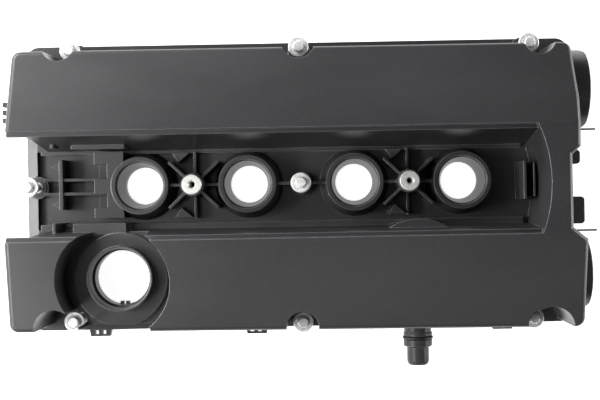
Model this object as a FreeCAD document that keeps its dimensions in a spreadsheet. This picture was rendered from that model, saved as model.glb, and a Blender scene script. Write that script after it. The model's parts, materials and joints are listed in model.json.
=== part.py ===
"""Cylinder head cover of a twin-cam four-cylinder engine, as a parametric document.

Frame: +X along the row of spark plugs, +Y towards the rear bank, +Z up. The origin is on the centre
bolt's axis, in the plane of the head joint. Lengths are in millimetres.
"""
import FreeCAD, Part
import math
import os
import re
import Sketcher
from FreeCAD import Placement, Rotation, Vector

DIMENSIONS = {
    # spark plug row
    "plug_pitch": 86.0, "plug_bore_radius": 15.2, "plug_rim_radius": 19.7, "plug_lip_radius": 23.0,
    "plug_boss_radius": 28.0, "plug_rim_top": 30.0, "plug_bore_top": 9.0,
    # outer form of the cover
    "wall": 3.0, "draft": 1.6, "joint_face": 1.2, "flange_top": 10.0,
    "left_end": -221.5, "left_taper": 3.5, "front_left": -223.4, "rear_edge": 103.5,
    "front_edge": -114.6, "front_edge_left": -111.5, "rear_ridge": 41.0, "front_ridge": -42.0,
    "roof_low": 66.0, "roof_high": 80.0,
    "rear_right": 208.5, "right_bulge": 212.5, "bulge_foot": 23.0, "right_recess": 205.5,
    "front_right": 216.0,
    "corner_radius": 7.0, "cavity_radius": 6.0, "edge_radius": 4.0, "ear_radius": 3.0,
    # flange
    "flange_left": -224.5, "flange_right": 221.0, "flange_rear": 115.0, "flange_front": -117.0,
    "flange_corner": 12.0,
    # coil well
    "floor_top": 6.0, "well_rear_foot": 28.0, "well_front_foot": -34.5, "ledge_width": 3.5,
    "ledge_drop": 6.0, "well_start": -215.0, "well_end": 182.5, "well_bulge": 6.5,
    "shelf_width": 4.0, "strip_low": 8.0, "strip_top": 13.0, "strip_inset": 0.6, "notch_end": -206.0,
    # ribs in the well
    "rib": 2.2, "rib_top": 26.0, "cross_rib_place": -193.0, "rail_rib_offset": 5.6,
    "bridge_plate_left": -165.5, "bridge_slot_end": -155.3,
    # coil pack bosses
    "coil_offset": 86.0, "coil_boss_radius": 9.0, "coil_boss_top": 39.6, "insert_flange": 7.9,
    "insert_body": 5.4, "insert_hole": 2.55, "insert_top": 42.0, "insert_depth": 16.0,
    # bolts, sleeves and grommets
    "left_bolts": -180.5, "right_bolts": 182.0, "rear_bolt_line": 107.0, "front_bolt_line": -110.0,
    "filler_bolt_line": -106.6, "left_bolt_place": -215.2,
    "bolt_shank": 3.0, "bolt_thread": 2.9, "bolt_length": 38.0,
    "bolt_head_height": 6.2, "bolt_flange_radius": 8.0, "bolt_flange_height": 2.0, "bolt_tip": 0.6,
    "star_radius": 4.3, "star_notch": 0.9, "star_chamfer": 0.8, "dish_depth": 0.9, "dish_outer": 5.7,
    "sleeve_outer": 4.4, "sleeve_inner": 3.3, "sleeve_top": 14.0, "grommet_outer": 6.0,
    "grommet_lip": 7.2, "boss_radius": 9.0, "boss_top": 12.0, "grommet_bottom": 3.2, "grommet_top": 13.0,
    # bolt scoops
    "socket_radius": 9.4, "scoop_radius": 12.5, "scoop_left_radius": 15.8, "scoop_right_radius": 17.1,
    # oil filler
    "filler_x": -142.0, "filler_y": -72.5, "filler_rim_radius": 25.8, "filler_bore_radius": 21.6,
    "filler_seat_radius": 23.2, "filler_rim_top": 52.0, "filler_seat": 40.0, "filler_bottom": 28.0,
    "filler_lead": 48.0, "filler_lead_radius": 24.4, "neck_lip": 0.6,
    "pocket_x": -143.5, "pocket_y": -74.0, "pocket_radius": 43.5, "pocket_floor": 40.0,
    "pocket_step": 4.5, "pocket_step_radius": 37.0, "pocket_front": -109.5,
    "lug_reach": 2.4, "lug_width": 2.8, "lug_gap": 1.6, "lug_height": 4.0,
    # pressure valve chamber and breather
    "valve_x": 91.5, "valve_y": -72.0, "chamber_radius": 42.0, "chamber_top": 46.0,
    "spigot_height": 25.0, "spigot_tip": -147.4, "spigot_root": -108.0, "spigot_face": -113.95,
    "spigot_tube": 10.8,
    "spigot_bead": 11.5, "spigot_nose": 8.85, "spigot_bore": 7.0, "spigot_nose_length": 13.8,
    "oring_radius": 1.3, "oring_seat": 9.6,
    # cam phaser arches
    "rear_arch_y": 70.5, "rear_arch_radius": 32.0, "front_arch_y": -75.0, "front_arch_radius": 29.0,
    "arch_axis": 25.0, "arch_wall": 5.0, "arch_face": 225.8, "arch_seal": 2.2, "arch_corner": 6.0,
    # gaskets
    "gasket_width": 3.6, "gasket_depth": 3.4, "gasket_inset": 3.0, "gasket_corner": 9.0,
    "seal_left": 217.0, "seal_right": 222.0, "bolt_clear": 10.4, "frame_width": 9.0,
    "plug_seal_inner": 18.5, "plug_seal_outer": 22.5, "tail_tip": 243.8, "tail_width": 1.4,
    "tail_rear": 40.6, "tail_front": -43.0,
    # oil separator under the front bank
    "baffle_z": 26.0, "baffle_thickness": 2.0, "baffle_left": -92.0, "baffle_right": 48.0,
    "baffle_rear": -43.0, "baffle_front": -94.0, "slot_length": 18.0, "slot_width": 3.0,
    "post_radius": 4.5, "screw_radius": 1.6, "screw_head": 3.6,
    # pressure valve
    "cup_radius": 26.5, "cup_wall": 2.4, "cup_floor": 30.0, "seat_radius": 9.0,
    "diaphragm_z": 44.0, "diaphragm_thickness": 1.6, "piston_radius": 13.0, "piston_height": 3.0,
    "spring_radius": 10.4, "spring_wire": 0.8, "spring_turns": 5.0,
    # clips
    "clip_y": 57.4, "clip_height": 46.0, "clip_block": 6.5, "clip_pitch": 6.1, "clip_width": 3.6,
    "tab_foot": 9.0, "tab_head": 8.0, "tab_reach": 5.5, "tab_slot": 3.0,
}

doc = FreeCAD.newDocument("CylinderHeadCover")
sheet = doc.addObject("Spreadsheet::Sheet", "Dims")
for row, (alias, size) in enumerate(DIMENSIONS.items(), 1):
    sheet.set(f"A{row}", alias)
    sheet.set(f"B{row}", str(size))
    sheet.setAlias(f"B{row}", alias)
doc.recompute()


# ---------------------------------------------------------------- helpers


def formula(text):
    """A sum of sheet names, as an expression that FreeCAD can bind."""
    def named(word):
        return "Dims." + word[0] if word[0] in DIMENSIONS else word[0]

    return re.sub(r"[a-z][a-z_0-9]+", named, str(text))


def size(alias):
    """One dimension's value, read from the sheet."""
    return float(sheet.get(alias))


def bind(item, **sizes):
    for name, text in sizes.items():
        item.setExpression(name, formula(text))
    return item


def place(item, x=0, y=0, z=0):
    for axis, text in zip("xyz", (x, y, z)):
        item.setExpression("Placement.Base." + axis, formula(text))
    return item


def box(name, x0, x1, y0, y1, z0, z1):
    """A box between two values on each axis."""
    item = doc.addObject("Part::Box", name)
    bind(item, Length=f"({x1}) - ({x0})", Width=f"({y1}) - ({y0})", Height=f"({z1}) - ({z0})")
    return place(item, x0, y0, z0)


def post(name, x, y, z0, z1, radius):
    """An upright cylinder."""
    item = doc.addObject("Part::Cylinder", name)
    bind(item, Radius=radius, Height=f"({z1}) - ({z0})")
    return place(item, x, y, z0)


def taper(name, x, y, z0, z1, foot, head):
    """An upright cone, from its radius at the foot to its radius at the head."""
    item = doc.addObject("Part::Cone", name)
    bind(item, Radius1=foot, Radius2=head, Height=f"({z1}) - ({z0})")
    return place(item, x, y, z0)


def ring(name, x, y, z0, z1, outer, inner):
    return cut(name, post(name + "Outer", x, y, z0, z1, outer),
               [post(name + "Inner", x, y, f"{z0} - 1", f"{z1} + 1", inner)])


def fuse(name, items):
    if len(items) == 1:
        return items[0]
    item = doc.addObject("Part::MultiFuse", name)
    item.Shapes = items
    return item


def cut(name, base, tools):
    item = doc.addObject("Part::Cut", name)
    item.Base = base
    item.Tool = fuse(name + "Tools", tools)
    return item


def common(name, first, second):
    item = doc.addObject("Part::Common", name)
    item.Base = first
    item.Tool = second
    return item


def outline(name, points, across=False):
    """A closed sketch through the points, every corner bound to the sheet, in XY or across X in YZ."""
    sketch = doc.addObject("Sketcher::SketchObject", name)
    if across:
        sketch.Placement = Placement(Vector(), Rotation(Vector(1, 1, 1), 120))
    fill_outline(sketch, points)
    return sketch


def fill_outline(sketch, points):
    count = len(points)
    for i in range(count):
        sketch.addGeometry(Part.LineSegment(Vector(10 * math.cos(i), 10 * math.sin(i), 0),
                                            Vector(10 * math.cos(i + 1), 10 * math.sin(i + 1), 0)), False)
    for i in range(count):
        sketch.addConstraint(Sketcher.Constraint("Coincident", i, 2, (i + 1) % count, 1))
    for i, corner in enumerate(points):
        for kind, text in zip(("DistanceX", "DistanceY"), corner):
            index = sketch.addConstraint(Sketcher.Constraint(kind, -1, 1, i, 1, 1.0 + i))
            sketch.setExpression(f"Constraints[{index}]", formula(text))


def extrude(name, sketch, start, end):
    """A sketch drawn out between two places along its own normal."""
    item = doc.addObject("Part::Extrusion", name)
    item.Base = sketch
    item.DirMode = "Normal"
    item.Solid = True
    bind(item, LengthFwd=end, LengthRev=f"-({start})")
    return item


def rounded(name, base, rules):
    """Round the edges that each (test, dimension) rule picks out."""
    doc.recompute()
    picked = []
    for index, edge in enumerate(base.Shape.Edges, 1):
        for test, alias in rules:
            if test(edge):
                picked.append((index, size(alias), size(alias)))
                break
    item = doc.addObject("Part::Fillet", name)
    item.Base = base
    item.Edges = picked
    return item


def middle(edge):
    return edge.valueAt((edge.FirstParameter + edge.LastParameter) / 2)


def is_upright(edge):
    first, last = edge.Vertexes[0].Point, edge.Vertexes[-1].Point
    return abs(last.z - first.z) > 0.9 * edge.Length


def node(item, label):
    """Name a finished sub-part."""
    item.Label = label
    parts[label] = item
    return item


parts = {}
plugs = {"PlugA": "-1.5 * plug_pitch", "PlugB": "-0.5 * plug_pitch", "PlugC": "0.5 * plug_pitch",
         "PlugD": "1.5 * plug_pitch"}
coils = {"left": "-coil_offset", "right": "coil_offset"}
bolts = {
    "rear_left": ("left_bolts", "rear_bolt_line"),
    "rear_centre": ("0", "rear_bolt_line"),
    "rear_right": ("right_bolts", "rear_bolt_line"),
    "front_left": ("left_bolts", "filler_bolt_line"),
    "front_centre": ("0", "front_bolt_line"),
    "front_right": ("right_bolts", "front_bolt_line"),
    "left_end": ("left_bolt_place", "0"),
    "centre": ("0", "0"),
}
scoops = {
    "rear_left": (-3.4, 1, "scoop_radius"),
    "rear_centre": (0, 0, "scoop_radius"),
    "rear_right": (3, 0, "scoop_radius"),
    "front_left": (-9.5, -3.4, "scoop_left_radius"),
    "front_centre": (0, -1.3, "scoop_radius"),
    "front_right": (9, -5.6, "scoop_right_radius"),
}
well_bars = {
    "CrossRib": ("cross_rib_place - 1.5", "cross_rib_place + 1.5", -18.5, 22, "rib_top"),
    "RailRibRear": (-207, -157, "rail_rib_offset - rib / 2", "rail_rib_offset + rib / 2", "rib_top - 2"),
    "RailRibFront": (-207, -157, "-rail_rib_offset - rib / 2", "-rail_rib_offset + rib / 2", "rib_top - 2"),
    "RearShelf": (-181, -139, 29.4, 34, 40),
    "FrontShelf": (-181, -139, -39, -29.5, 38),
    "FrontStep": ("well_start + 3", "well_end - 3", -36, "well_front_foot + shelf_width", 17),
    "RearStep": ("well_start + 3", "well_end - 3", "well_rear_foot - 2", 30, 13),
    "RearWallRib": (-196.3, -193.9, 30.4, 36, 44),
    "FrontWallRib": (-195.6, -193.2, -38, -29, 44),
    "EndRib": (176, 178.2, -16, 14, 40),
    "EndRibThin": (184.5, 186, -14, 13, 36),
}
arches = {"RearArch": ("rear_arch_y", "rear_arch_radius"), "FrontArch": ("front_arch_y", "front_arch_radius")}


# ---------------------------------------------------------------- moulded cover


def bank_block(name, inset):
    """The two cam banks and the bridge between them as one block, inset by a wall's thickness."""
    section = outline(name + "Section", [
        (f"front_edge - draft + {inset}", "-2"),
        (f"rear_edge + draft - {inset}", "-2"),
        (f"rear_edge - {inset}", f"roof_low - {inset}"),
        ("rear_ridge", f"roof_high - {inset}"),
        ("front_ridge", f"roof_high - {inset}"),
        (f"front_edge + {inset}", f"roof_low - {inset}"),
    ], across=True)
    plan = outline(name + "Plan", [
        (f"front_left - 0.8 + {inset}", f"front_edge_left + {inset}"),
        (f"front_right - {inset}", f"front_edge + {inset}"),
        (f"front_right + 0.8 - {inset}", "front_ridge - 5"),
        (f"right_recess - {inset}", "front_ridge + 4"),
        (f"right_recess - {inset}", "bulge_foot - 6"),
        (f"right_bulge - 0.5 - {inset}", "bulge_foot"),
        (f"right_bulge - {inset}", "rear_ridge + 19"),
        (f"rear_right - {inset}", "rear_edge"),
        (f"rear_right - 1 - {inset}", "130"),
        (f"left_end + left_taper + {inset}", "130"),
        (f"left_end + {inset}", "rear_ridge"),
        (f"left_end + {inset}", "front_ridge + 10"),
        (f"front_left + {inset}", "front_ridge"),
    ])
    return common(name, extrude(name + "Length", section, -240, 240), extrude(name + "Height", plan, -2, 100))


def corner_edge(edge):
    spot = middle(edge)
    at_end = spot.x < -200 or spot.x > 195
    return is_upright(edge) and at_end and (spot.y > 95 or spot.y < -100)


def roof_rim(edge):
    """The outer edges of the roof: along both banks and round both ends."""
    spot = middle(edge)
    if is_upright(edge) or spot.z < 40:
        return False
    return abs(spot.y) > 95 or spot.x < -215 or spot.x > 200


def well_block(name, grow, start):
    """The coil well: tapered walls, a ledge under each rim and a bowed end wall."""
    section = outline(name + "Section", [
        (f"well_front_foot - {grow}", f"floor_top - 3 * {grow}"),
        (f"well_rear_foot + {grow}", f"floor_top - 3 * {grow}"),
        (f"rear_ridge - ledge_width + {grow}", f"roof_high - ledge_drop - {grow}"),
        (f"rear_ridge + {grow}", f"roof_high - ledge_drop - {grow}"),
        (f"rear_ridge + {grow}", "roof_high + 5"),
        (f"front_ridge - {grow}", "roof_high + 5"),
        (f"front_ridge - {grow}", f"roof_high - ledge_drop - {grow}"),
        (f"front_ridge + ledge_width - {grow}", f"roof_high - ledge_drop - {grow}"),
    ], across=True)
    run = extrude(name + "Run", section, start, f"well_end + well_bulge + {grow}")
    half_span = "(well_rear_foot - well_front_foot) / 2 + 6"
    bow = f"(({half_span}) * ({half_span}) + well_bulge * well_bulge) / (2 * well_bulge)"
    drum = post(name + "Drum", f"well_end + well_bulge - ({bow})", "(well_rear_foot + well_front_foot) / 2",
                -20, 100, f"{bow} + {grow}")
    straight = box(name + "Straight", -260, "well_end - 20", -60, 60, -20, 100)
    return common(name, run, fuse(name + "Reach", [drum, straight]))


def end_notch():
    """The well's open left end: steep side walls below the ledges and a strip that slopes up."""
    section = common("StripSection", well_block("StripWell", "0", -260),
                     box("StripSlab", -260, "well_start + 1", -60, 60, "strip_top", 100))
    notch = box("StripNotch", -260, "notch_end", "front_ridge + strip_inset", "rear_ridge - strip_inset",
                "strip_top", "roof_high - ledge_drop - 2.5")
    run, rise = size("well_start") - size("flange_left"), size("strip_top") - size("strip_low")
    slope = doc.addObject("Part::Box", "StripSlope")
    slope.Placement = Placement(Vector(), Rotation(Vector(0, 1, 0), -math.degrees(math.atan2(rise, run))))
    bind(slope, Length=f"{math.hypot(run, rise):.4f}",
         Width="rear_ridge - front_ridge - 2 * strip_inset", Height=20)
    place(slope, "flange_left", "front_ridge + strip_inset", "strip_low")
    return [section, notch, slope]


def scoop(name, grow, start):
    """The round pockets in the outer walls that let a socket down to each edge bolt."""
    items = []
    for bolt, (along, outward, radius) in scoops.items():
        x, y = bolts[bolt]
        items.append(post(f"{name}{bolt}", f"{x} + {along}", f"{y} + {outward}", start, 100,
                          f"{radius} + {grow}"))
        items.append(post(f"{name}{bolt}Socket", x, y, start, 100, f"socket_radius + {grow}"))
    return fuse(name, items)


def filler_pocket(name, grow):
    """The round recess round the oil filler, with a lower gutter along its wall."""
    drum = post(name + "Drum", "pocket_x", "pocket_y", f"pocket_floor - pocket_step - {grow}", 100,
                f"pocket_radius + {grow}")
    island = post(name + "Island", "pocket_x", "pocket_y", 0, f"pocket_floor - {grow}",
                  f"pocket_step_radius - {grow}")
    return cut(name, drum, [island])


def build_cover():
    outer = rounded("BankRounded", bank_block("Bank", "0"),
                    [(corner_edge, "corner_radius"), (roof_rim, "edge_radius")])
    inner = rounded("CavityRounded", bank_block("Cavity", "wall"), [(corner_edge, "cavity_radius")])
    walls = [
        well_block("WellWall", "wall", -260),
        scoop("ScoopWall", "wall", "joint_face - 10"),
        filler_pocket("PocketWall", "wall"),
        box("PocketFrontWall", "pocket_x - 30", "pocket_x + 30", -130, "pocket_front + wall", -5, 100),
        box("EndWallKeep", -260, "notch_end + wall + 1", "front_ridge - wall", "rear_ridge + wall", -5, 100),
    ]
    cavity = cut("CavityClear", inner, walls)
    bulge = post("ChamberHollow", "valve_x", "valve_y", -2, "chamber_top - wall", "chamber_radius - wall")
    bulge_in = common("ChamberHollowTrim", bulge,
                      box("ChamberHollowSlab", 0, 200, "front_edge + wall + 1", -10, -3, 100))
    hollow = fuse("Hollow", [cavity, bulge_in])

    flange_plate = box("Flange", "flange_left", "flange_right", "flange_front", "flange_rear", "joint_face",
                       "flange_top")
    flange = rounded("FlangeRounded", flange_plate, [(is_upright, "flange_corner")])
    strip = box("Strip", "flange_left", "well_start", "front_ridge + 1", "rear_ridge - 1", "joint_face",
                "strip_top")
    recesses = [
        well_block("Well", "0", "well_start"),
        scoop("Scoop", "0", "flange_top"),
        filler_pocket("Pocket", "0"),
        box("PocketFront", "left_bolts", "pocket_x + 27", -130, "pocket_front", "flange_top", 100),
    ]
    shaped = cut("Shaped", fuse("Block", [outer, flange, strip] + arch_collars()), recesses + end_notch())
    below = box("BelowJoint", -300, 300, -200, 200, -50, "joint_face")
    bulge = common("ChamberBulge", post("ChamberDrum", "valve_x", "valve_y", "floor_top - 1", "chamber_top",
                                        "chamber_radius"),
                   box("ChamberSlab", 0, 200, "front_edge + wall + 2", -10, 0, 100))
    skin = cut("Skin", fuse("SkinBlock", [shaped, bulge]), [hollow, below])
    body = fuse("CoverBody", [skin] + flange_frame() + well_details() + bosses() + harness_tabs()
                + [filler_neck()] + inner_posts())
    opened = cut("CoverOpened", body, openings() + gasket_grooves())
    return fuse("Cover", [opened, filler_lugs()])


def inset_plate(name, inset, around, bottom, top):
    """The flange's outline, drawn in by an inset and stepped round each edge bolt."""
    plate = rounded(name + "Round", box(name + "Plate", f"flange_left + {inset}", f"flange_right - ({inset})",
                                        f"flange_front + {inset}", f"flange_rear - ({inset})", bottom, top),
                    [(is_upright, "gasket_corner")])
    keepers = [post(name + bolt, x, y, -5, 20, around) for bolt, (x, y) in bolts.items() if bolt != "centre"]
    return cut(name, plate, keepers)


def gasket_band(name, bottom, top):
    outer = inset_plate(name + "Outer", "gasket_inset", "bolt_clear", bottom, top)
    inner = inset_plate(name + "Inner", "gasket_inset + gasket_width", "bolt_clear + gasket_width",
                        f"{bottom} - 1", f"{top} + 1")
    return cut(name, outer, [inner])


def flange_frame():
    """The stiff rim under the flange that carries the gasket groove all the way round."""
    plate = box("FramePlate", "flange_left + 1", "flange_right - 1", "flange_front + 1", "flange_rear - 1",
                "joint_face", "floor_top")
    return [cut("Frame", rounded("FrameRound", plate, [(is_upright, "flange_corner")]),
                [inset_plate("FrameInner", "frame_width", "bolt_clear + 7", 0, 20)])]


def spoke(name, x, y, angle, reach, top):
    """A thin upright rib that leaves a point at an angle."""
    item = doc.addObject("Part::Box", name)
    item.Placement = Placement(Vector(), Rotation(Vector(0, 0, 1), angle))
    bind(item, Length=reach, Width="rib", Height=f"{top} - floor_top + 1")
    sine, cosine = math.sin(math.radians(angle)) / 2, math.cos(math.radians(angle)) / 2
    return place(item, f"{x} + rib * ({sine:.4f})", f"{y} - rib * ({cosine:.4f})", "floor_top - 1")


def wedge_pad(name, x, y, side):
    """A small three-cornered pad against the foot of the well's wall."""
    plan = outline(name + "Plan", [(f"{x} - 7", f"{y} + {4 * side}"), (f"{x} + 7", f"{y} + {4 * side}"),
                                   (f"{x} - 2", f"{y} - {4 * side}")])
    return extrude(name, plan, "floor_top - 1", "rib_top - 4")


def well_details():
    items = []
    for name, x in plugs.items():
        items.append(taper(name + "Boss", x, 0, "floor_top - 1", "plug_rim_top", "plug_boss_radius",
                           "plug_lip_radius"))
    for side, x in coils.items():
        items.append(taper("CoilBoss" + side, x, 0, "floor_top - 1", "coil_boss_top",
                           "coil_boss_radius + 1.4", "coil_boss_radius"))
        for angle in (43, 137, 223, 317):
            items.append(spoke(f"Diagonal{side}{angle}", x, 0, angle, 27, "rib_top + 3"))
        for angle in (0, 180):
            items.append(spoke(f"Level{side}{angle}", x, 0, angle, 25, "rib_top"))
        for angle in (90, 270):
            items.append(spoke(f"Across{side}{angle}", x, 0, angle, 27, "rib_top - 8"))
        items.append(wedge_pad(f"PadRear{side}", f"{x} - 11", 22, 1))
        items.append(wedge_pad(f"PadFront{side}", f"{x} - 9", -22, -1))
    for angle in (0, 180):
        items.append(spoke(f"CentreRib{angle}", 0, 0, angle, 20, "rib_top"))
    for y in (16, -14):
        gusset = outline(f"Gusset{y}", [("cross_rib_place", f"{y} + 4"), ("cross_rib_place - 8", y),
                                        ("cross_rib_place", f"{y} - 4")])
        items.append(extrude(f"GussetBody{y}", gusset, "floor_top - 1", "rib_top - 3"))
    plate = box("BridgePlate", "bridge_plate_left", -142, -25.5, 27.5, "floor_top - 1", "plug_rim_top - 1")
    slots = [box(f"BridgeSlot{side}", -180, "bridge_slot_end", f"{y} - 6", f"{y} + 6", "floor_top + 5", 60)
             for side, y in (("Rear", 11.8), ("Front", -11.4))]
    items.append(cut("BridgePlateSlotted", plate, slots))
    for name, (x0, x1, y0, y1, top) in well_bars.items():
        items.append(box(name, x0, x1, y0, y1, "floor_top - 1", top))
    return items


def bosses():
    items = []
    for bolt, (x, y) in bolts.items():
        items.append(post("Boss" + bolt, x, y, "joint_face", "boss_top", "boss_radius"))
    for name, x0, x1, y0, y1 in (("EarRear", 216, 226.5, 11.5, 23), ("EarFront", 216, 229.5, -37, -15)):
        items.append(rounded(name + "Round", box(name, x0, x1, y0, y1, "joint_face", "flange_top + 8"),
                             [(is_upright, "ear_radius")]))
    return items


def harness_tabs():
    """Three slotted tabs along the front flange that hold the wiring harness."""
    items = []
    for index, (x, skew) in enumerate(((-167, 0), (-39.5, 1), (160, 3))):
        tip = "flange_front - tab_reach"
        plan = outline(f"Tab{index}Plan", [
            (f"{x} + {skew} - tab_head", tip), (f"{x} + {skew} + tab_head", tip),
            (f"{x} + tab_foot", "flange_front + 1"), (f"{x} - tab_foot", "flange_front + 1")])
        slots = [box(f"Tab{index}Slot{side}", f"{x} + {side} * tab_slot - tab_slot / 2",
                     f"{x} + {side} * tab_slot + tab_slot / 2", f"{tip} + 1.4", "flange_front - 0.6", 0, 20)
                 for side in (-1, 1)]
        tab = extrude(f"Tab{index}Solid", plan, "joint_face + 2", "flange_top - 1")
        items.append(cut(f"Tab{index}", tab, slots))
    return items


def lying(name, x0, x1, y, z, radius):
    """A cylinder along X."""
    item = doc.addObject("Part::Cylinder", name)
    item.Placement = Placement(Vector(), Rotation(Vector(0, 1, 0), 90))
    bind(item, Radius=radius, Height=f"({x1}) - ({x0})")
    return place(item, x0, y, z)


def along_y(name, x, y0, y1, z, radius):
    """A cylinder along Y."""
    item = doc.addObject("Part::Cylinder", name)
    item.Placement = Placement(Vector(), Rotation(Vector(1, 0, 0), -90))
    bind(item, Radius=radius, Height=f"({y1}) - ({y0})")
    return place(item, x, y0, z)


def stilted_arch(name, x0, x1, y, radius, bottom):
    """A round-headed arch: half a cylinder on two straight legs."""
    drum = lying(name + "Drum", x0, x1, y, "arch_axis", radius)
    legs = box(name + "Legs", x0, x1, f"{y} - ({radius})", f"{y} + ({radius})", bottom, "arch_axis")
    keep = box(name + "Keep", f"{x0} - 1", f"{x1} + 1", f"{y} - 60", f"{y} + 60", bottom, 90)
    return common(name, fuse(name + "Solid", [drum, legs]), keep)


def is_outer_corner(edge):
    return is_upright(edge) and middle(edge).x > 210


def arch_collars():
    """The collars round both cam phasers, their corners rounded in plan."""
    items = []
    for name, (y, radius) in arches.items():
        block = box(name + "Plan", "right_recess - 4", "arch_face", f"{y} - {radius}", f"{y} + {radius}",
                    0, 90)
        plan = rounded(name + "Corners", block, [(is_outer_corner, "arch_corner")])
        arch = stilted_arch(name, "right_recess - 4", "arch_face", y, radius, "joint_face")
        items.append(common(name + "Collar", arch, plan))
    return items


def filler_neck():
    """The oil filler's neck and its skirt below the roof."""
    neck = post("Neck", "filler_x", "filler_y", "filler_bottom", "filler_rim_top", "filler_rim_radius")
    lip = size("filler_rim_top") - 1
    return rounded("NeckRound", neck, [(lambda edge: middle(edge).z > lip, "neck_lip")])


def filler_lugs():
    """A pair of small lugs low in the front of the neck, which stop the cap."""
    lugs = []
    for side in (-1, 1):
        inner = f"filler_x + {side} * (lug_gap / 2 + lug_width / 2) - lug_width / 2"
        lugs.append(box(f"Lug{side}", inner, f"{inner} + lug_width", "filler_y - filler_bore_radius - 0.8",
                        "filler_y - filler_bore_radius + lug_reach", "filler_bottom",
                        "filler_bottom + lug_height"))
    return fuse("Lugs", lugs)


def inner_posts():
    """Screw posts for the oil separator and the pressure valve's cup, hanging from the roof."""
    items = [post(f"BafflePost{index}", x, y, "baffle_z + baffle_thickness", 80, "post_radius")
             for index, (x, y) in enumerate(baffle_posts())]
    items.append(ring("ValveCup", "valve_x", "valve_y", "cup_floor", 80, "cup_radius",
                      "cup_radius - cup_wall"))
    return [common("Hangers", fuse("HangerSolids", items), bank_block("Limit", "wall / 2"))]


def baffle_posts():
    return [(x, y) for x in ("baffle_left + 8", "(baffle_left + baffle_right) / 2", "baffle_right - 8")
            for y in ("baffle_rear - 8", "baffle_front + 8")]


def openings():
    items = []
    for name, x in plugs.items():
        items.append(post(name + "Bore", x, 0, -5, 40, "plug_bore_radius"))
        items.append(taper(name + "Cone", x, 0, "plug_bore_top", "plug_rim_top - 3", "plug_bore_radius",
                           "plug_rim_radius - 1.2"))
        items.append(post(name + "Lead", x, 0, "plug_rim_top - 3", "plug_rim_top + 5", "plug_rim_radius"))
    for bolt, (x, y) in bolts.items():
        items.append(post("Hole" + bolt, x, y, -5, 40, "grommet_outer"))
    for side, x in coils.items():
        items.append(post("InsertHole" + side, x, 0, "coil_boss_top - insert_depth", 60, "insert_body"))
    for name, (y, radius) in arches.items():
        items.append(stilted_arch(name + "Way", "right_recess - 1", "arch_face + 5", y,
                                  f"{radius} - arch_wall", -5))
    items.append(post("FillerBore", "filler_x", "filler_y", "filler_bottom - 1", 90, "filler_bore_radius"))
    items.append(post("FillerSeat", "filler_x", "filler_y", "filler_seat", "filler_lead",
                      "filler_seat_radius"))
    items.append(taper("FillerLead", "filler_x", "filler_y", "filler_lead", "filler_rim_top + 0.1",
                       "filler_seat_radius", "filler_lead_radius"))
    for bolt in ("left_end", "centre"):
        x, y = bolts[bolt]
        items.append(post(f"HeadRoom{bolt}", x, y, "boss_top", 60, "socket_radius"))
    items.append(along_y("SpigotHole", "valve_x", "front_edge - 12", "front_edge + 12", "spigot_height",
                         "spigot_tube - 1.5"))
    for index, (x, y) in enumerate(baffle_posts()):
        items.append(post(f"ScrewHole{index}", x, y, 0, "baffle_z + 14", "screw_radius"))
    return items


def gasket_grooves():
    items = [gasket_band("Groove", 0, "joint_face + gasket_depth")]
    for name, x in plugs.items():
        items.append(ring(name + "Groove", x, 0, 0, "joint_face + 2.6", "plug_seal_outer", "plug_seal_inner"))
    return items


# ---------------------------------------------------------------- gaskets and sleeves


def perimeter_gasket():
    """The moulded seal round the flange, which climbs over both cam phaser arches."""
    band = gasket_band("GasketBand", 0, "joint_face + gasket_depth")
    items, ways = [], []
    for name, (y, radius) in arches.items():
        opening = f"{radius} - arch_wall"
        ways.append(box(name + "GasketGap", 200, 230, f"{y} - ({opening})", f"{y} + ({opening})", -1, 10))
        outer = stilted_arch(name + "SealOuter", "seal_left", "seal_right", y, opening, 0)
        inner = stilted_arch(name + "SealInner", "seal_left - 1", "seal_right + 1", y,
                             f"{opening} - arch_seal", -2)
        items.append(cut(name + "Seal", outer, [inner]))
    for name, y in (("TailRear", "tail_rear"), ("TailFront", "tail_front")):
        items.append(box(name, "flange_right - gasket_inset - 2", "tail_tip", f"{y} - tail_width / 2",
                         f"{y} + tail_width / 2", 0, "joint_face"))
    return fuse("PerimeterGasket", [cut("GasketOpen", band, ways)] + items)


def plug_well_gasket():
    return fuse("PlugWellGasket", [ring(name + "Seal", x, 0, 0, "joint_face + 2.6", "plug_seal_outer",
                                        "plug_seal_inner") for name, x in plugs.items()])


def sleeve(bolt, x, y):
    """A steel limiter that stops the bolt's flange."""
    return ring("Sleeve" + bolt, x, y, "joint_face", "sleeve_top", "sleeve_outer", "sleeve_inner")


def grommet(bolt, x, y):
    """A rubber ring between the limiter and the cover, with a lip on top of the boss."""
    body = fuse("Grommet" + bolt, [
        post(f"GrommetBody{bolt}", x, y, "grommet_bottom", "grommet_top", "grommet_outer"),
        post(f"GrommetLip{bolt}", x, y, "boss_top", "grommet_top", "grommet_lip")])
    return cut("GrommetBored" + bolt, body, [post(f"GrommetBore{bolt}", x, y, -5, 30, "sleeve_outer")])


# ---------------------------------------------------------------- turned and pressed pieces


def new_body(name, x=0, y=0, z=0):
    return place(doc.addObject("PartDesign::Body", name), x, y, z)


def origin_plane(body, role):
    return next(item for item in body.Origin.OriginFeatures if item.Role == role)


def body_sketch(body, name, role, points):
    """A closed sketch on one of the body's own planes, every corner bound to the sheet."""
    sketch = body.newObject("Sketcher::SketchObject", name)
    sketch.AttachmentSupport = [(origin_plane(body, role), "")]
    sketch.MapMode = "FlatFace"
    fill_outline(sketch, points)
    return sketch


def turned(name, points, x=0, y=0, z=0):
    """A body of revolution about its own Z, from a half section given as radius and height."""
    body = new_body(name, x, y, z)
    sketch = body_sketch(body, name + "Section", "XZ_Plane", points)
    turn = body.newObject("PartDesign::Revolution", name + "Turn")
    turn.Profile = sketch
    turn.ReferenceAxis = (sketch, ["V_Axis"])
    turn.Angle = 360
    body.Tip = turn
    return body


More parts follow.
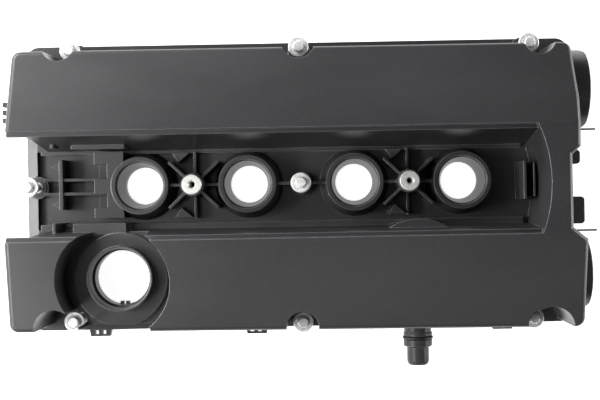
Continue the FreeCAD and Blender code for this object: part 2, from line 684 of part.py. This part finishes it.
def bolt_body(bolt, x, y):
    """A captive flange bolt: plain shank, threaded end, dished flange and six-lobed head."""
    head = "bolt_length + bolt_flange_height"
    body = turned("Bolt" + bolt, [
        (0, 0), ("bolt_thread - 1", 0), ("bolt_thread", 1.2), ("bolt_thread", 22), ("bolt_shank", 22.6),
        ("bolt_shank", "bolt_length"), ("bolt_flange_radius", "bolt_length"),
        ("bolt_flange_radius", f"{head} - 0.6"), ("bolt_flange_radius - 0.6", head),
        ("dish_outer", head), ("star_radius + 0.2", f"{head} - dish_depth"),
        ("star_radius", f"{head} - dish_depth"),
        ("star_radius", "bolt_length + bolt_head_height - star_chamfer"),
        ("star_radius - star_chamfer", "bolt_length + bolt_head_height"),
        (0, "bolt_length + bolt_head_height")], x, y, "bolt_tip")
    doc.recompute()
    plane = body.newObject("PartDesign::Plane", f"NotchPlane{bolt}")
    plane.AttachmentSupport = [(origin_plane(body, "XY_Plane"), "")]
    plane.MapMode = "FlatFace"
    plane.setExpression("AttachmentOffset.Base.z", formula("bolt_length + bolt_head_height + 1"))
    sketch = body.newObject("Sketcher::SketchObject", f"NotchCircle{bolt}")
    sketch.AttachmentSupport = [(plane, "")]
    sketch.MapMode = "FlatFace"
    sketch.addGeometry(Part.Circle(Vector(5, 0, 0), Vector(0, 0, 1), 1), False)
    radius = sketch.addConstraint(Sketcher.Constraint("Radius", 0, 1.0))
    across = sketch.addConstraint(Sketcher.Constraint("DistanceX", -1, 1, 0, 3, 5.0))
    sketch.addConstraint(Sketcher.Constraint("PointOnObject", 0, 3, -1))
    sketch.setExpression(f"Constraints[{radius}]", formula("star_notch"))
    sketch.setExpression(f"Constraints[{across}]", formula("star_radius + 0.25"))
    notch = body.newObject("PartDesign::Pocket", f"Notch{bolt}")
    notch.Profile = sketch
    notch.setExpression("Length", formula("bolt_head_height - bolt_flange_height + 1"))
    doc.recompute()
    pattern = body.newObject("PartDesign::PolarPattern", f"Notches{bolt}")
    pattern.Originals = [notch]
    pattern.Axis = (sketch, ["N_Axis"])
    pattern.Angle = 360
    pattern.Occurrences = 6
    body.Tip = pattern
    return body


def coil_insert(side, x):
    """A brass insert moulded into the boss, open at the top for the coil pack's screw."""
    return turned("Insert" + side, [
        ("insert_hole", "-insert_depth"), ("insert_body - 0.8", "-insert_depth"), ("insert_body - 0.8", -9),
        ("insert_body", -9), ("insert_body", 0), ("insert_flange", 0),
        ("insert_flange", "insert_top - coil_boss_top - 0.5"),
        ("insert_flange - 0.5", "insert_top - coil_boss_top"),
        ("insert_hole + 0.8", "insert_top - coil_boss_top"),
        ("insert_hole", "insert_top - coil_boss_top - 0.8")], x, 0, "coil_boss_top")


def breather_spigot():
    """A stepped hose spigot, turned about Z and laid down to point forwards."""
    length = "(spigot_root - spigot_tip)"
    shoulder = "spigot_root - spigot_face"
    bead = f"{length} - spigot_nose_length"
    body = turned("Spigot", [
        ("spigot_bore", 0), ("spigot_tube - 1.5", 0), ("spigot_tube - 1.5", shoulder),
        ("spigot_tube + 2", shoulder), ("spigot_tube + 2", f"{shoulder} + 2"),
        ("spigot_tube", f"{shoulder} + 3"), ("spigot_tube", f"{bead} - 12.5"),
        ("spigot_bead", f"{bead} - 12.1"), ("spigot_bead", f"{bead} - 9.6"),
        ("oring_seat", f"{bead} - 9.4"), ("oring_seat", f"{bead} - 6.6"),
        ("spigot_bead", f"{bead} - 6.4"), ("spigot_bead", f"{bead} - 1.5"),
        ("spigot_nose", bead), ("spigot_nose", f"{length} - 3.2"),
        ("spigot_nose - 0.5", f"{length} - 1.4"), ("spigot_nose - 1.5", length),
        ("spigot_bore", length)], "valve_x", "spigot_root", "spigot_height")
    body.Placement = Placement(body.Placement.Base, Rotation(Vector(1, 0, 0), 90))
    return body


def spigot_o_ring():
    item = doc.addObject("Part::Torus", "SpigotORing")
    item.Placement = Placement(Vector(), Rotation(Vector(1, 0, 0), 90))
    bind(item, Radius1="oring_seat + oring_radius", Radius2="oring_radius")
    return place(item, "valve_x", "spigot_tip + spigot_nose_length + 8", "spigot_height")


def separator_baffle():
    """A moulded plate with rows of drain slots and an upturned rim, screwed under the front bank."""
    body = new_body("Baffle", 0, 0, "baffle_z")
    corners = [("baffle_left", "baffle_front"), ("baffle_right", "baffle_front"),
               ("baffle_right", "baffle_rear"), ("baffle_left", "baffle_rear")]
    pad = body.newObject("PartDesign::Pad", "BafflePad")
    pad.Profile = body_sketch(body, "BaffleOutline", "XY_Plane", corners)
    pad.setExpression("Length", formula("baffle_thickness"))
    doc.recompute()
    slot_left, slot_front = "baffle_left + 18", "baffle_front + 18"
    pocket = body.newObject("PartDesign::Pocket", "BaffleSlot")
    pocket.Profile = body_sketch(body, "BaffleSlotOutline", "XY_Plane", [
        (slot_left, slot_front), (f"{slot_left} + slot_width", slot_front),
        (f"{slot_left} + slot_width", f"{slot_front} + slot_length"),
        (slot_left, f"{slot_front} + slot_length")])
    pocket.Type = "ThroughAll"
    pocket.Midplane = True
    doc.recompute()
    pattern = body.newObject("PartDesign::LinearPattern", "BaffleSlots")
    pattern.Originals = [pocket]
    pattern.Direction = (pocket.Profile[0], ["H_Axis"])
    pattern.setExpression("Length", formula("baffle_right - baffle_left - 39"))
    pattern.Occurrences = 9
    body.Tip = pattern
    return body


def separator_plate():
    """The slotted plate with a rim along its edges and holes for its screws."""
    rim = cut("BaffleRim", box("BaffleRimOuter", "baffle_left", "baffle_right", "baffle_front", "baffle_rear",
                               "baffle_z + baffle_thickness - 0.1", "baffle_z + 9"),
              [box("BaffleRimInner", "baffle_left + 1.8", "baffle_right - 1.8", "baffle_front + 1.8",
                   "baffle_rear - 1.8", "baffle_z", 60)])
    holes = [post(f"BaffleHole{index}", x, y, 0, 60, "screw_radius + 0.3")
             for index, (x, y) in enumerate(baffle_posts())]
    return cut("SeparatorPlate", fuse("SeparatorSolid", [separator_baffle(), rim]), holes)


def baffle_screws():
    """Six pan-head screws as one group."""
    items = []
    for index, (x, y) in enumerate(baffle_posts()):
        items.append(post(f"ScrewShank{index}", x, y, "baffle_z - 0.1", "baffle_z + 12", "screw_radius"))
        items.append(post(f"ScrewHead{index}", x, y, "baffle_z - 2", "baffle_z", "screw_head"))
    return fuse("BaffleScrews", items)


# ---------------------------------------------------------------- pressure valve


def valve_cap():
    """The cap that closes the cup from below, with the seat that the valve plate closes."""
    return turned("ValveCap", [
        ("seat_radius - 2", -2.4), ("cup_radius", -2.4), ("cup_radius", 0),
        ("cup_radius - cup_wall - 0.2", 0), ("cup_radius - cup_wall - 0.2", 2.4),
        ("cup_radius - cup_wall - 2", 2.4),
        ("cup_radius - cup_wall - 2", 0.6), ("seat_radius", 0.6), ("seat_radius", 4), ("seat_radius - 2", 4)],
        "valve_x", "valve_y", "cup_floor")


def valve_plate():
    """The round piston that the diaphragm carries over the seat."""
    return turned("ValvePlate", [
        (0, 0), ("piston_radius - 1", 0), ("piston_radius", 1), ("piston_radius", "piston_height"),
        (0, "piston_height")],
        "valve_x", "valve_y", "diaphragm_z - piston_height")


def valve_diaphragm():
    """A rolling rubber diaphragm clamped in the cup's wall, with one convolution."""
    rim = "cup_radius - cup_wall"
    return turned("ValveDiaphragm", [
        (0, 0), ("piston_radius + 1", 0), ("piston_radius + 3", 3), (f"{rim} - 4", 3), (f"{rim} - 3", 0),
        (rim, 0),
        (rim, "diaphragm_thickness"), (f"{rim} - 2.2", "diaphragm_thickness"),
        (f"{rim} - 3.2", "diaphragm_thickness + 3"), ("piston_radius + 2.2", "diaphragm_thickness + 3"),
        ("piston_radius + 0.4", "diaphragm_thickness"), (0, "diaphragm_thickness")],
        "valve_x", "valve_y", "diaphragm_z")


def valve_spring():
    """The return spring between the cap's floor and the valve plate, as a swept wire."""
    bottom = size("cup_floor") + 0.6 + size("spring_wire")
    top = size("diaphragm_z") - size("piston_height") - size("spring_wire")
    pitch = (top - bottom) / size("spring_turns")
    helix = Part.makeHelix(pitch, top - bottom, size("spring_radius"))
    circle = Part.Circle(Vector(size("spring_radius"), 0, 0), Vector(0, 1, pitch / 60), size("spring_wire"))
    wire = Part.Wire([circle.toShape()])
    item = doc.addObject("Part::Feature", "ValveSpring")
    item.Shape = Part.Wire(helix.Edges).makePipeShell([wire], True, True)
    item.Placement = Placement(Vector(size("valve_x"), size("valve_y"), bottom), Rotation())
    return item


def harness_clip_rail():
    """A ladder of three clip blocks on a back strip, on the left end of the rear bank."""
    left = "left_end - clip_block"
    strip = box("ClipStrip", "left_end - 1.6", "left_end", "clip_y - clip_pitch - 4",
                "clip_y + clip_pitch + 4", "clip_height", "clip_height + 16")
    blocks = [box(f"ClipBlock{i}", left, "left_end - 1.5", f"clip_y + {i} * clip_pitch - clip_width / 2",
                  f"clip_y + {i} * clip_pitch + clip_width / 2", "clip_height + 2", "clip_height + 14")
              for i in (-1, 0, 1)]
    return fuse("ClipRail", [strip] + blocks)


node(build_cover(), "cover_shell")
node(perimeter_gasket(), "perimeter_gasket")
node(plug_well_gasket(), "plug_well_gasket")
node(fuse("Sleeves", [sleeve(bolt, x, y) for bolt, (x, y) in bolts.items()]), "compression_sleeves")
node(fuse("Grommets", [grommet(bolt, x, y) for bolt, (x, y) in bolts.items()]), "bolt_grommets")
for bolt, (x, y) in bolts.items():
    node(bolt_body(bolt, x, y), "bolt_" + bolt)
for side, x in coils.items():
    node(coil_insert(side, x), "coil_insert_" + side)
node(breather_spigot(), "breather_spigot")
node(spigot_o_ring(), "spigot_o_ring")
node(separator_plate(), "separator_baffle")
node(baffle_screws(), "baffle_screws")
node(valve_cap(), "pressure_valve_cap")
node(valve_plate(), "pressure_valve_plate")
node(valve_diaphragm(), "pressure_valve_diaphragm")
node(valve_spring(), "pressure_valve_spring")
node(harness_clip_rail(), "harness_clip_rail")

doc.recompute()
failed = [item.Name for item in doc.Objects if {"Invalid", "Error"} & set(item.State)]
failed += [label for label, item in parts.items() if item.Shape.isNull() or not item.Shape.isValid()]
if failed:
    raise RuntimeError("failed: " + ", ".join(failed))

os.makedirs("parts", exist_ok=True)
for label, item in parts.items():
    item.Shape.exportStep(f"parts/{label}.step")
    print(f"{label:28s} {len(item.Shape.Solids)} solids {item.Shape.Volume / 1000:9.2f} cm3")
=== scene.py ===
"""Cylinder head cover: looks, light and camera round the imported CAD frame. Metres, +Z up."""
import json
import math

import bpy
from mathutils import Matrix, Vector


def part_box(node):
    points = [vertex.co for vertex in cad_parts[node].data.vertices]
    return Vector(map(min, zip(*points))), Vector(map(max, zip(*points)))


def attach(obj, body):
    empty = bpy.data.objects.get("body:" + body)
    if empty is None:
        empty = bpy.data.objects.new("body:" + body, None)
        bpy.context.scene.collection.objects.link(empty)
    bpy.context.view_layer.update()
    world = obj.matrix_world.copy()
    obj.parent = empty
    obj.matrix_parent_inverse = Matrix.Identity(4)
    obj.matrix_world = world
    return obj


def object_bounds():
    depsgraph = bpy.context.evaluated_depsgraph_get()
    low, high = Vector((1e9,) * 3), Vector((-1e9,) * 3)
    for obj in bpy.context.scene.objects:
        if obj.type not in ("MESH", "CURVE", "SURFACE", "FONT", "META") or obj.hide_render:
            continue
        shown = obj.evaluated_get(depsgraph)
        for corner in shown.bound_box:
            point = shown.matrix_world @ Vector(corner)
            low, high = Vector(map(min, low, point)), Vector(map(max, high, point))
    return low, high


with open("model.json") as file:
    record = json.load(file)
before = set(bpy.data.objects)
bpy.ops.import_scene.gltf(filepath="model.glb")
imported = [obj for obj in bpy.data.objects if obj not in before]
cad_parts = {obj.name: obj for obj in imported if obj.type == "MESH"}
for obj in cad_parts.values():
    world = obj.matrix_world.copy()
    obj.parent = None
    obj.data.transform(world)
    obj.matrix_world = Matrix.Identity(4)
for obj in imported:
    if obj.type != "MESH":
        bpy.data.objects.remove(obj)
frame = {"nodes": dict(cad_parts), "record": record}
cad_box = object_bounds()
nodes = frame["nodes"]
record = frame["record"]

# ---------------------------------------------------------------- camera, floor and light

CAMERA_HEIGHT = 0.830
CAMERA_OVER = (0.01493, -0.01409)
CAMERA_TURN = math.radians(-1.05)
CAMERA_REACH = (0.02, 50)
LENS = 60.06
SENSOR = 36.0
SHIFT = -20 / 600

FLOOR_SIZE = 3.0
FLOOR_GREY = 0.86
FLOOR_ROUGHNESS = 0.9
FLOOR_GLOW = 0.95
SKY_STRENGTH = 0.03
SOFTBOXES = {
    "rear_left": {"place": (-0.80, 0.80, 0.60), "aim": (-0.10, 0, 0.05),
                  "size": (0.60, 0.40), "power": 17},
    "front_left": {"place": (-0.90, -0.55, 0.90), "aim": (-0.15, 0, 0.05),
                   "size": (0.40, 0.40), "power": 10},
    "left": {"place": (-0.75, 0.0, 0.75), "aim": (-0.15, 0, 0.05),
             "size": (0.25, 0.25), "power": 5},
    "left_low": {"place": (-1.10, 0.05, 0.42), "aim": (-0.10, 0, 0.04),
                 "size": (0.50, 0.30), "power": 9},
    "right": {"place": (1.10, 0.10, 0.30), "aim": (0.10, 0, 0.05),
              "size": (0.90, 0.30), "power": 10},
    "high_left": {"place": (-0.62, 0.10, 1.35), "aim": (-0.20, 0, 0.05),
                  "size": (0.35, 1.00), "power": 2},
    "high_front": {"place": (0, -0.80, 1.40), "aim": (0, 0, 0.05),
                   "size": (1.20, 0.40), "power": 1},
}


def add_camera():
    """Straight above the cover, a little off its middle, as the object was shot."""
    data = bpy.data.cameras.new("camera")
    data.lens, data.sensor_width = LENS, SENSOR
    data.shift_x = SHIFT
    data.clip_start, data.clip_end = CAMERA_REACH
    camera = bpy.data.objects.new("camera", data)
    camera.location = (*CAMERA_OVER, CAMERA_HEIGHT)
    camera.rotation_euler = (0, 0, CAMERA_TURN)
    bpy.context.scene.collection.objects.link(camera)
    bpy.context.scene.camera = camera


def add_softbox(name, place, aim, size, power):
    data = bpy.data.lights.new(name, "AREA")
    data.shape, data.size, data.size_y = "RECTANGLE", size[0], size[1]
    data.energy = power
    light = bpy.data.objects.new(name, data)
    light.location = place
    light.rotation_euler = (Vector(aim) - Vector(place)).to_track_quat("-Z", "Y").to_euler()
    bpy.context.scene.collection.objects.link(light)


def add_floor():
    level = cad_box[0][2]
    mesh = bpy.data.meshes.new("floor")
    mesh.from_pydata([(-FLOOR_SIZE, -FLOOR_SIZE, level), (FLOOR_SIZE, -FLOOR_SIZE, level),
                      (FLOOR_SIZE, FLOOR_SIZE, level), (-FLOOR_SIZE, FLOOR_SIZE, level)], [], [(0, 1, 2, 3)])
    floor = bpy.data.objects.new("floor", mesh)
    bpy.context.scene.collection.objects.link(floor)
    material = bpy.data.materials.new("floor")
    material.use_nodes = True
    shader = material.node_tree.nodes["Principled BSDF"]
    shader.inputs["Base Color"].default_value = (FLOOR_GREY, FLOOR_GREY, FLOOR_GREY, 1)
    shader.inputs["Roughness"].default_value = FLOOR_ROUGHNESS
    shader.inputs["Emission Color"].default_value = (1, 1, 1, 1)
    shader.inputs["Emission Strength"].default_value = FLOOR_GLOW
    mesh.materials.append(material)


def add_surroundings():
    world = bpy.data.worlds.new("studio")
    world.use_nodes = True
    world.node_tree.nodes["Background"].inputs["Color"].default_value = (1, 1, 1, 1)
    world.node_tree.nodes["Background"].inputs["Strength"].default_value = SKY_STRENGTH
    bpy.context.scene.world = world
    bpy.context.scene.view_settings.view_transform = "Standard"
    for name, settings in SOFTBOXES.items():
        add_softbox(name, **settings)


# ---------------------------------------------------------------- materials

EDGE_SAMPLES = 6
# Painted highlight: rounded plastic edges are lightened to this many times the base colour.
EDGE_HIGHLIGHT_TINT = 7.0

class Surface:
    """A Principled material whose nodes are joined by short calls."""

    def __init__(self, name, roughness, metallic=0.0, specular=0.5):
        self.material = bpy.data.materials.new(name)
        self.material.use_nodes = True
        self.nodes = self.material.node_tree.nodes
        self.shader = self.nodes["Principled BSDF"]
        self.shader.inputs["Roughness"].default_value = roughness
        self.shader.inputs["Metallic"].default_value = metallic
        self.shader.inputs["Specular IOR Level"].default_value = specular
        self.place = self.nodes.new("ShaderNodeTexCoord").outputs["Object"]

    def join(self, source, target):
        self.material.node_tree.links.new(source, target)

    def noise(self, size, detail=3.0, stretch=(1, 1, 1)):
        """Noise with features of a given size in metres, drawn out along an axis by a stretch above 1."""
        mapping = self.nodes.new("ShaderNodeMapping")
        mapping.inputs["Scale"].default_value = [1 / factor for factor in stretch]
        self.join(self.place, mapping.inputs["Vector"])
        texture = self.nodes.new("ShaderNodeTexNoise")
        texture.inputs["Scale"].default_value = 1 / size
        texture.inputs["Detail"].default_value = detail
        self.join(mapping.outputs["Vector"], texture.inputs["Vector"])
        return texture.outputs["Fac"]

    def cells(self, size):
        texture = self.nodes.new("ShaderNodeTexVoronoi")
        texture.inputs["Scale"].default_value = 1 / size
        self.join(self.place, texture.inputs["Vector"])
        return texture.outputs["Distance"]

    def spread(self, source, low, high, start=0.3, stop=0.7):
        """Map a factor between two places onto a span of values."""
        span = self.nodes.new("ShaderNodeMapRange")
        for socket, value in (("From Min", start), ("From Max", stop), ("To Min", low), ("To Max", high)):
            span.inputs[socket].default_value = value
        self.join(source, span.inputs["Value"])
        return span.outputs["Result"]

    def blend(self, factor, first, second):
        """Mix two colours, or a colour socket and a colour."""
        mix = self.nodes.new("ShaderNodeMix")
        mix.data_type = "RGBA"
        self.join(factor, mix.inputs["Factor"])
        for socket, colour in ((mix.inputs[6], first), (mix.inputs[7], second)):
            if isinstance(colour, tuple):
                socket.default_value = (*colour, 1)
            else:
                self.join(colour, socket)
        return mix.outputs[2]

    def maths(self, operation, first, second):
        step = self.nodes.new("ShaderNodeMath")
        step.operation = operation
        for socket, value in zip(step.inputs, (first, second)):
            if isinstance(value, (int, float)):
                socket.default_value = value
            else:
                self.join(value, socket)
        return step.outputs[0]

    def round_edges(self, radius):
        """Shading of small edge radii, and how far each point lies into such an edge."""
        bevel = self.nodes.new("ShaderNodeBevel")
        bevel.samples = EDGE_SAMPLES
        bevel.inputs["Radius"].default_value = radius
        flat = self.nodes.new("ShaderNodeNewGeometry").outputs["Normal"]
        dot = self.nodes.new("ShaderNodeVectorMath")
        dot.operation = "DOT_PRODUCT"
        self.join(bevel.outputs["Normal"], dot.inputs[0])
        self.join(flat, dot.inputs[1])
        self.normal = bevel.outputs["Normal"]
        return self.spread(dot.outputs["Value"], 1, 0, 0.80, 0.995)

    def bump(self, height, strength, depth):
        """Raise the surface by a height map, on top of the rounded edges and any earlier map."""
        node = self.nodes.new("ShaderNodeBump")
        node.inputs["Strength"].default_value = strength
        node.inputs["Distance"].default_value = depth
        self.join(height, node.inputs["Height"])
        self.join(self.normal, node.inputs["Normal"])
        self.normal = node.outputs["Normal"]

    def finish(self, colour, roughness):
        self.join(colour, self.shader.inputs["Base Color"])
        self.join(roughness, self.shader.inputs["Roughness"])
        self.join(self.normal, self.shader.inputs["Normal"])
        return self.material


def colour_of(slot):
    """The record's colour for a material slot."""
    return next(tuple(item["base_color"]) for item in record["materials"] if item["slot"] == slot)


def tinted(colour, factor):
    return tuple(min(1, channel * factor) for channel in colour)


def moulded_plastic(slot, edge_radius=0.0010, grain=0.00055, polish=0.36, specular=0.5):
    """Glass-filled nylon: fine spark-eroded grain and flow clouds, with a painted highlight on the rounded
    edges that noise breaks into patches.
    """
    colour = colour_of(slot)
    surface = Surface(slot, polish, specular=specular)
    edge = surface.round_edges(edge_radius)
    clouds = surface.noise(0.06, 4, stretch=(2.5, 1, 1))
    fibres = surface.noise(0.0011, 2, stretch=(3, 1, 1))
    fine = surface.noise(grain, 3)
    body = surface.blend(surface.spread(clouds, 0, 1), tinted(colour, 0.86), tinted(colour, 1.12))
    body = surface.blend(surface.spread(fibres, 0, 0.5, 0.55, 0.8), body, tinted(colour, 1.7))
    # Painted highlight on the rounded edges: the edge mask, broken into patches by noise, lightens the
    # colour.
    painted_edge_highlight = surface.maths("MULTIPLY", edge, surface.spread(surface.noise(0.007, 4), 0.45, 1.0))
    body = surface.blend(painted_edge_highlight, body, tinted(colour, EDGE_HIGHLIGHT_TINT))
    surface.bump(fine, 0.35, 0.00007)
    surface.bump(surface.cells(0.0013), 0.12, 0.00006)
    rough = surface.spread(clouds, polish - 0.04, polish + 0.04)
    rough = surface.maths("ADD", rough, surface.spread(fine, -0.05, 0.05))
    return surface.finish(body, rough)


def rubber(slot, roughness=0.62):
    """Matt moulded rubber with a dusty bloom."""
    colour = colour_of(slot)
    surface = Surface(slot, roughness, specular=0.35)
    surface.round_edges(0.0005)
    bloom = surface.noise(0.008, 4)
    body = surface.blend(surface.spread(bloom, 0, 1), tinted(colour, 0.8), tinted(colour, 1.5))
    surface.bump(surface.noise(0.0004, 2), 0.3, 0.00005)
    return surface.finish(body, surface.spread(bloom, roughness - 0.08, roughness + 0.08))


def plated_steel(slot, roughness=0.40):
    """Zinc-flake plated steel: silvery, half matt, with a faint mottle, drawn marks and softened edges that
    carry a painted highlight.
    """
    colour = colour_of(slot)
    surface = Surface(slot, roughness, metallic=0.45)
    edge = surface.round_edges(0.00035)
    mottle = surface.noise(0.0028, 4)
    marks = surface.noise(0.0003, 2, stretch=(1, 1, 9))
    body = surface.blend(surface.spread(mottle, 0, 1), tinted(colour, 0.88), tinted(colour, 1.1))
    # Painted highlight: the rounded edges are lightened in colour.
    body = surface.blend(edge, body, tinted(colour, 1.15))
    surface.bump(marks, 0.18, 0.00003)
    rough = surface.maths("ADD", surface.spread(mottle, roughness - 0.05, roughness + 0.09),
                          surface.spread(marks, -0.03, 0.05))
    return surface.finish(body, rough)


def turned_metal(slot, roughness=0.34):
    """Bright turned metal with fine marks round its own axis, and a painted highlight on its edges."""
    colour = colour_of(slot)
    surface = Surface(slot, roughness, metallic=0.55)
    edge = surface.round_edges(0.0003)
    mottle = surface.noise(0.002, 3)
    body = surface.blend(surface.spread(mottle, 0, 1), tinted(colour, 0.85), tinted(colour, 1.08))
    # Painted highlight: the rounded edges are lightened in colour.
    body = surface.blend(edge, body, tinted(colour, 1.2))
    surface.bump(surface.noise(0.0003, 2), 0.06, 0.00002)
    return surface.finish(body, surface.spread(mottle, roughness - 0.04, roughness + 0.08))


MAKERS = {
    "cover_plastic": moulded_plastic,
    "gasket_rubber": rubber,
    "grommet_rubber": rubber,
    "ring_rubber": lambda slot: rubber(slot, 0.45),
    "diaphragm_rubber": rubber,
    "sleeve_steel": plated_steel,
    "bolt_zinc": plated_steel,
    "screw_steel": plated_steel,
    "insert_metal": turned_metal,
    "spring_steel": turned_metal,
    "spigot_plastic": lambda slot: moulded_plastic(slot, 0.0006, 0.0006, 0.30, 0.22),
    "separator_plastic": lambda slot: moulded_plastic(slot, 0.0006, 0.0006, 0.5),
    "valve_plastic": lambda slot: moulded_plastic(slot, 0.0006, 0.0006, 0.45),
    "clip_plastic": lambda slot: moulded_plastic(slot, 0.0004, 0.0005, 0.55),
}


def dress_nodes():
    materials = {item["slot"]: MAKERS[item["slot"]](item["slot"]) for item in record["materials"]}
    for part in record["subparts"]:
        item = nodes[part["node"]]
        item.data.materials.clear()
        item.data.materials.append(materials[part["material_slot"]])
    return materials


# ---------------------------------------------------------------- screw threads

BOLT_PITCH = 0.0010
BOLT_THREAD_ROOT = 0.0029 - 0.0001
BOLT_THREAD_RISE = 0.00055
BOLT_THREAD_START = 0.0012
BOLT_THREAD_END = 0.022
INSERT_PITCH = 0.0010
INSERT_HOLE_RADIUS = 0.00255
INSERT_THREAD_RISE = -0.0005
INSERT_THREAD_START = 0.0004
INSERT_THREAD_RECESS = 0.0030
STEPS_PER_TURN = 28
THREAD_PROFILE = ((0, 0.06), (1, 0.44), (1, 0.56), (0, 0.94))


def thread_mesh(name, centre, radius, rise, bottom, top, pitch):
    """One helical ridge on a shank, or in a hole where the rise is negative."""
    turns = (top - bottom - pitch) / pitch
    count = int(turns * STEPS_PER_TURN)
    points, faces = [], []
    for i in range(count + 1):
        angle = 2 * math.pi * i / STEPS_PER_TURN
        base = bottom + pitch * i / STEPS_PER_TURN
        fade = min(1, i / STEPS_PER_TURN, (count - i) / STEPS_PER_TURN)
        for share, lift in THREAD_PROFILE:
            reach = radius + rise * fade * share
            points.append((centre[0] + reach * math.cos(angle), centre[1] + reach * math.sin(angle),
                           base + pitch * lift))
    width = len(THREAD_PROFILE)
    for i in range(count):
        for j in range(width - 1):
            a = width * i + j
            face = (a, a + width, a + width + 1, a + 1)
            faces.append(face if rise > 0 else face[::-1])
    mesh = bpy.data.meshes.new(name)
    mesh.from_pydata(points, [], faces)
    mesh.shade_smooth()
    item = bpy.data.objects.new(name, mesh)
    bpy.context.scene.collection.objects.link(item)
    return item


def middle_of(node):
    low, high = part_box(node)
    return ((low[0] + high[0]) / 2, (low[1] + high[1]) / 2)


def add_threads(materials):
    for part in record["subparts"]:
        node, slot = part["node"], part["material_slot"]
        low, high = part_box(node)
        if slot == "bolt_zinc":
            item = thread_mesh(node + "_thread", middle_of(node), BOLT_THREAD_ROOT, BOLT_THREAD_RISE,
                               low[2] + BOLT_THREAD_START, low[2] + BOLT_THREAD_END, BOLT_PITCH)
            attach(item, node)
        elif slot == "insert_metal":
            item = thread_mesh(node + "_thread", middle_of(node), INSERT_HOLE_RADIUS, INSERT_THREAD_RISE,
                               low[2] + INSERT_THREAD_START, high[2] - INSERT_THREAD_RECESS, INSERT_PITCH)
            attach(item, "cover")
        else:
            continue
        item.data.materials.append(materials[slot])


add_camera()
add_floor()
add_surroundings()
finishes = dress_nodes()
add_threads(finishes)
